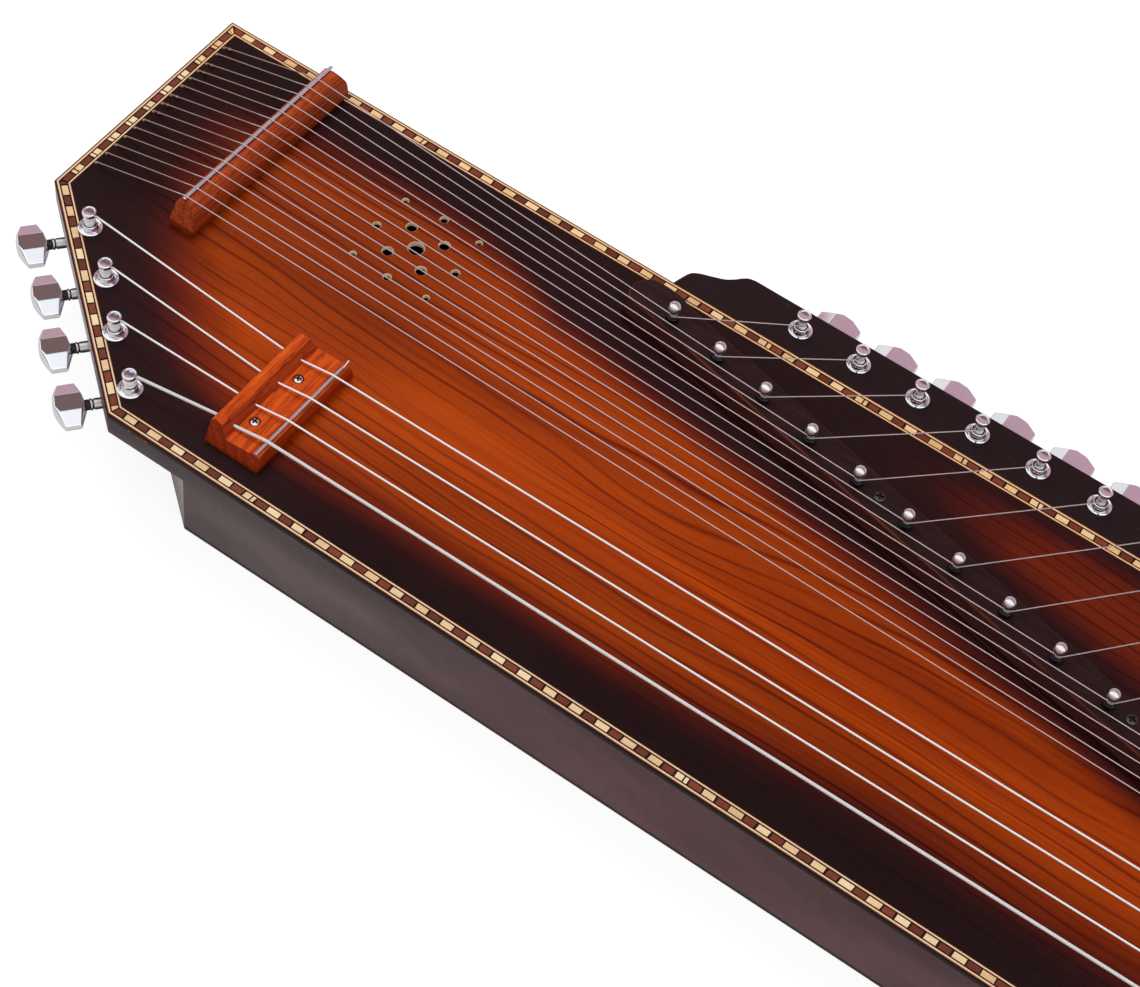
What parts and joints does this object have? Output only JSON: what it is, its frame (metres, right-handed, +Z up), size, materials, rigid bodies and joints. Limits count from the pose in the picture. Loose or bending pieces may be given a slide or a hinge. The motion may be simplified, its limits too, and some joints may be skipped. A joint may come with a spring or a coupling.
{
  "type": "box zither",
  "caption": "Shallow box zither with drone strings over a wide bridge, harp strings over a pinned diagonal bridge, and geared tuners on two edges.",
  "frame": {"origin": "centre of the flat back it rests on", "axes": "+X along the strings from the drone tuners to the tail, +Y from the player to the tuner wing, +Z up out of the soundboard"},
  "size_m": [0.914, 0.2908, 0.0748],
  "materials": {
    "soundboard_lacquer": "tinted sunburst lacquer, satin gloss",
    "marquetry": "cream and red-brown blocks between cream and black lines, lacquered",
    "side_lacquer": "dark mauve-brown satin lacquer",
    "back_lacquer": "dark brown satin lacquer",
    "bare_wood": "unfinished",
    "wing_lacquer": "near-black satin lacquer",
    "bridge_rosewood": "oiled red-brown hardwood",
    "pin_bridge_wood": "stained near-black, red-brown on its bevel",
    "nut_wood": "orange-red stained, satin",
    "saddle_steel": "drawn steel rod",
    "screw_steel": "plated steel",
    "tuner_chrome": "polished chrome",
    "string_steel": "drawn steel wire"
  },
  "bodies": {
    "root": {"soundboard": "soundboard_lacquer", "binding_strip": "marquetry", "near_side": "side_lacquer", "far_side": "side_lacquer", "head_block": "side_lacquer", "tail_block": "side_lacquer", "back_board": "back_lacquer", "soundboard_brace": "bare_wood", "tuner_wing": "wing_lacquer", "swarmandal_bridge": "bridge_rosewood", "swarmandal_saddle_rod": "saddle_steel", "pin_bridge": "pin_bridge_wood", "nut_block": "nut_wood", "nut_saddle_wire": "saddle_steel", "nut_screw_1": "screw_steel", "nut_screw_2": "screw_steel", "jawari_bridge": "bridge_rosewood", "string_holder": "nut_wood", "swarmandal_strings": "string_steel", "tanpura_strings": "string_steel", "head_tuner_plate": "tuner_chrome", "wing_tuner_plate": "tuner_chrome"},
    "drone_button_1": {"drone_button_1": "tuner_chrome"},
    "drone_post_1": {"drone_post_1": "tuner_chrome"},
    "drone_button_2": {"drone_button_2": "tuner_chrome"},
    "drone_post_2": {"drone_post_2": "tuner_chrome"},
    "drone_button_3": {"drone_button_3": "tuner_chrome"},
    "drone_post_3": {"drone_post_3": "tuner_chrome"},
    "drone_button_4": {"drone_button_4": "tuner_chrome"},
    "drone_post_4": {"drone_post_4": "tuner_chrome"},
    "harp_button_1": {"harp_button_1": "tuner_chrome"},
    "harp_post_1": {"harp_post_1": "tuner_chrome"},
    "harp_button_2": {"harp_button_2": "tuner_chrome"},
    "harp_post_2": {"harp_post_2": "tuner_chrome"},
    "harp_button_3": {"harp_button_3": "tuner_chrome"},
    "harp_post_3": {"harp_post_3": "tuner_chrome"},
    "harp_button_4": {"harp_button_4": "tuner_chrome"},
    "harp_post_4": {"harp_post_4": "tuner_chrome"},
    "harp_button_5": {"harp_button_5": "tuner_chrome"},
    "harp_post_5": {"harp_post_5": "tuner_chrome"},
    "harp_button_6": {"harp_button_6": "tuner_chrome"},
    "harp_post_6": {"harp_post_6": "tuner_chrome"},
    "harp_button_7": {"harp_button_7": "tuner_chrome"},
    "harp_post_7": {"harp_post_7": "tuner_chrome"},
    "harp_button_8": {"harp_button_8": "tuner_chrome"},
    "harp_post_8": {"harp_post_8": "tuner_chrome"},
    "harp_button_9": {"harp_button_9": "tuner_chrome"},
    "harp_post_9": {"harp_post_9": "tuner_chrome"},
    "harp_button_10": {"harp_button_10": "tuner_chrome"},
    "harp_post_10": {"harp_post_10": "tuner_chrome"},
    "harp_button_11": {"harp_button_11": "tuner_chrome"},
    "harp_post_11": {"harp_post_11": "tuner_chrome"},
    "harp_button_12": {"harp_button_12": "tuner_chrome"},
    "harp_post_12": {"harp_post_12": "tuner_chrome"},
    "harp_button_13": {"harp_button_13": "tuner_chrome"},
    "harp_post_13": {"harp_post_13": "tuner_chrome"},
    "harp_button_14": {"harp_button_14": "tuner_chrome"},
    "harp_post_14": {"harp_post_14": "tuner_chrome"},
    "harp_button_15": {"harp_button_15": "tuner_chrome"},
    "harp_post_15": {"harp_post_15": "tuner_chrome"}
  },
  "joints": [
    {"name": "drone_1_turn", "type": "hinge", "parent": "root", "child": "drone_button_1", "pos_m": [-0.42782, -0.03071, 0.035], "axis": [-0.6381, -0.7699, 0], "continuous": true},
    {"name": "drone_1_wind", "type": "hinge", "parent": "root", "child": "drone_post_1", "pos_m": [-0.4212, -0.0362, 0.053], "axis": [0, 0, 1], "continuous": true},
    {"name": "drone_2_turn", "type": "hinge", "parent": "root", "child": "drone_button_2", "pos_m": [-0.40132, -0.05021, 0.035], "axis": [-0.6381, -0.7699, 0], "continuous": true},
    {"name": "drone_2_wind", "type": "hinge", "parent": "root", "child": "drone_post_2", "pos_m": [-0.3947, -0.0557, 0.053], "axis": [0, 0, 1], "continuous": true},
    {"name": "drone_3_turn", "type": "hinge", "parent": "root", "child": "drone_button_3", "pos_m": [-0.37702, -0.07241, 0.035], "axis": [-0.6381, -0.7699, 0], "continuous": true},
    {"name": "drone_3_wind", "type": "hinge", "parent": "root", "child": "drone_post_3", "pos_m": [-0.3704, -0.0779, 0.053], "axis": [0, 0, 1], "continuous": true},
    {"name": "drone_4_turn", "type": "hinge", "parent": "root", "child": "drone_button_4", "pos_m": [-0.35002, -0.09371, 0.035], "axis": [-0.6381, -0.7699, 0], "continuous": true},
    {"name": "drone_4_wind", "type": "hinge", "parent": "root", "child": "drone_post_4", "pos_m": [-0.3434, -0.0992, 0.053], "axis": [0, 0, 1], "continuous": true},
    {"name": "harp_1_turn", "type": "hinge", "parent": "root", "child": "harp_button_1", "pos_m": [-0.1099, 0.1311, 0.0344], "axis": [0, 1, 0], "continuous": true},
    {"name": "harp_1_wind", "type": "hinge", "parent": "root", "child": "harp_post_1", "pos_m": [-0.1185, 0.1311, 0.0524], "axis": [0, 0, 1], "continuous": true},
    {"name": "harp_2_turn", "type": "hinge", "parent": "root", "child": "harp_button_2", "pos_m": [-0.0767, 0.1311, 0.0344], "axis": [0, 1, 0], "continuous": true},
    {"name": "harp_2_wind", "type": "hinge", "parent": "root", "child": "harp_post_2", "pos_m": [-0.0853, 0.1311, 0.0524], "axis": [0, 0, 1], "continuous": true},
    {"name": "harp_3_turn", "type": "hinge", "parent": "root", "child": "harp_button_3", "pos_m": [-0.0435, 0.1311, 0.0344], "axis": [0, 1, 0], "continuous": true},
    {"name": "harp_3_wind", "type": "hinge", "parent": "root", "child": "harp_post_3", "pos_m": [-0.0521, 0.1311, 0.0524], "axis": [0, 0, 1], "continuous": true},
    {"name": "harp_4_turn", "type": "hinge", "parent": "root", "child": "harp_button_4", "pos_m": [-0.0103, 0.1311, 0.0344], "axis": [0, 1, 0], "continuous": true},
    {"name": "harp_4_wind", "type": "hinge", "parent": "root", "child": "harp_post_4", "pos_m": [-0.0189, 0.1311, 0.0524], "axis": [0, 0, 1], "continuous": true},
    {"name": "harp_5_turn", "type": "hinge", "parent": "root", "child": "harp_button_5", "pos_m": [0.0229, 0.1311, 0.0344], "axis": [0, 1, 0], "continuous": true},
    {"name": "harp_5_wind", "type": "hinge", "parent": "root", "child": "harp_post_5", "pos_m": [0.0143, 0.1311, 0.0524], "axis": [0, 0, 1], "continuous": true},
    {"name": "harp_6_turn", "type": "hinge", "parent": "root", "child": "harp_button_6", "pos_m": [0.0561, 0.1311, 0.0344], "axis": [0, 1, 0], "continuous": true},
    {"name": "harp_6_wind", "type": "hinge", "parent": "root", "child": "harp_post_6", "pos_m": [0.0475, 0.1311, 0.0524], "axis": [0, 0, 1], "continuous": true},
    {"name": "harp_7_turn", "type": "hinge", "parent": "root", "child": "harp_button_7", "pos_m": [0.0893, 0.1311, 0.0344], "axis": [0, 1, 0], "continuous": true},
    {"name": "harp_7_wind", "type": "hinge", "parent": "root", "child": "harp_post_7", "pos_m": [0.0807, 0.1311, 0.0524], "axis": [0, 0, 1], "continuous": true},
    {"name": "harp_8_turn", "type": "hinge", "parent": "root", "child": "harp_button_8", "pos_m": [0.1225, 0.1311, 0.0344], "axis": [0, 1, 0], "continuous": true},
    {"name": "harp_8_wind", "type": "hinge", "parent": "root", "child": "harp_post_8", "pos_m": [0.1139, 0.1311, 0.0524], "axis": [0, 0, 1], "continuous": true},
    {"name": "harp_9_turn", "type": "hinge", "parent": "root", "child": "harp_button_9", "pos_m": [0.1557, 0.1311, 0.0344], "axis": [0, 1, 0], "continuous": true},
    {"name": "harp_9_wind", "type": "hinge", "parent": "root", "child": "harp_post_9", "pos_m": [0.1471, 0.1311, 0.0524], "axis": [0, 0, 1], "continuous": true},
    {"name": "harp_10_turn", "type": "hinge", "parent": "root", "child": "harp_button_10", "pos_m": [0.1889, 0.1311, 0.0344], "axis": [0, 1, 0], "continuous": true},
    {"name": "harp_10_wind", "type": "hinge", "parent": "root", "child": "harp_post_10", "pos_m": [0.1803, 0.1311, 0.0524], "axis": [0, 0, 1], "continuous": true},
    {"name": "harp_11_turn", "type": "hinge", "parent": "root", "child": "harp_button_11", "pos_m": [0.2221, 0.1311, 0.0344], "axis": [0, 1, 0], "continuous": true},
    {"name": "harp_11_wind", "type": "hinge", "parent": "root", "child": "harp_post_11", "pos_m": [0.2135, 0.1311, 0.0524], "axis": [0, 0, 1], "continuous": true},
    {"name": "harp_12_turn", "type": "hinge", "parent": "root", "child": "harp_button_12", "pos_m": [0.2553, 0.1311, 0.0344], "axis": [0, 1, 0], "continuous": true},
    {"name": "harp_12_wind", "type": "hinge", "parent": "root", "child": "harp_post_12", "pos_m": [0.2467, 0.1311, 0.0524], "axis": [0, 0, 1], "continuous": true},
    {"name": "harp_13_turn", "type": "hinge", "parent": "root", "child": "harp_button_13", "pos_m": [0.2885, 0.1311, 0.0344], "axis": [0, 1, 0], "continuous": true},
    {"name": "harp_13_wind", "type": "hinge", "parent": "root", "child": "harp_post_13", "pos_m": [0.2799, 0.1311, 0.0524], "axis": [0, 0, 1], "continuous": true},
    {"name": "harp_14_turn", "type": "hinge", "parent": "root", "child": "harp_button_14", "pos_m": [0.3217, 0.1311, 0.0344], "axis": [0, 1, 0], "continuous": true},
    {"name": "harp_14_wind", "type": "hinge", "parent": "root", "child": "harp_post_14", "pos_m": [0.3131, 0.1311, 0.0524], "axis": [0, 0, 1], "continuous": true},
    {"name": "harp_15_turn", "type": "hinge", "parent": "root", "child": "harp_button_15", "pos_m": [0.3549, 0.1311, 0.0344], "axis": [0, 1, 0], "continuous": true},
    {"name": "harp_15_wind", "type": "hinge", "parent": "root", "child": "harp_post_15", "pos_m": [0.3463, 0.1311, 0.0524], "axis": [0, 0, 1], "continuous": true}
  ],
  "couplings": [
    {"joint": "drone_1_wind", "follows": "drone_1_turn", "ratio": -0.066667},
    {"joint": "drone_2_wind", "follows": "drone_2_turn", "ratio": -0.066667},
    {"joint": "drone_3_wind", "follows": "drone_3_turn", "ratio": -0.066667},
    {"joint": "drone_4_wind", "follows": "drone_4_turn", "ratio": -0.066667},
    {"joint": "harp_1_wind", "follows": "harp_1_turn", "ratio": -0.066667},
    {"joint": "harp_2_wind", "follows": "harp_2_turn", "ratio": -0.066667},
    {"joint": "harp_3_wind", "follows": "harp_3_turn", "ratio": -0.066667},
    {"joint": "harp_4_wind", "follows": "harp_4_turn", "ratio": -0.066667},
    {"joint": "harp_5_wind", "follows": "harp_5_turn", "ratio": -0.066667},
    {"joint": "harp_6_wind", "follows": "harp_6_turn", "ratio": -0.066667},
    {"joint": "harp_7_wind", "follows": "harp_7_turn", "ratio": -0.066667},
    {"joint": "harp_8_wind", "follows": "harp_8_turn", "ratio": -0.066667},
    {"joint": "harp_9_wind", "follows": "harp_9_turn", "ratio": -0.066667},
    {"joint": "harp_10_wind", "follows": "harp_10_turn", "ratio": -0.066667},
    {"joint": "harp_11_wind", "follows": "harp_11_turn", "ratio": -0.066667},
    {"joint": "harp_12_wind", "follows": "harp_12_turn", "ratio": -0.066667},
    {"joint": "harp_13_wind", "follows": "harp_13_turn", "ratio": -0.066667},
    {"joint": "harp_14_wind", "follows": "harp_14_turn", "ratio": -0.066667},
    {"joint": "harp_15_wind", "follows": "harp_15_turn", "ratio": -0.066667}
  ]
}
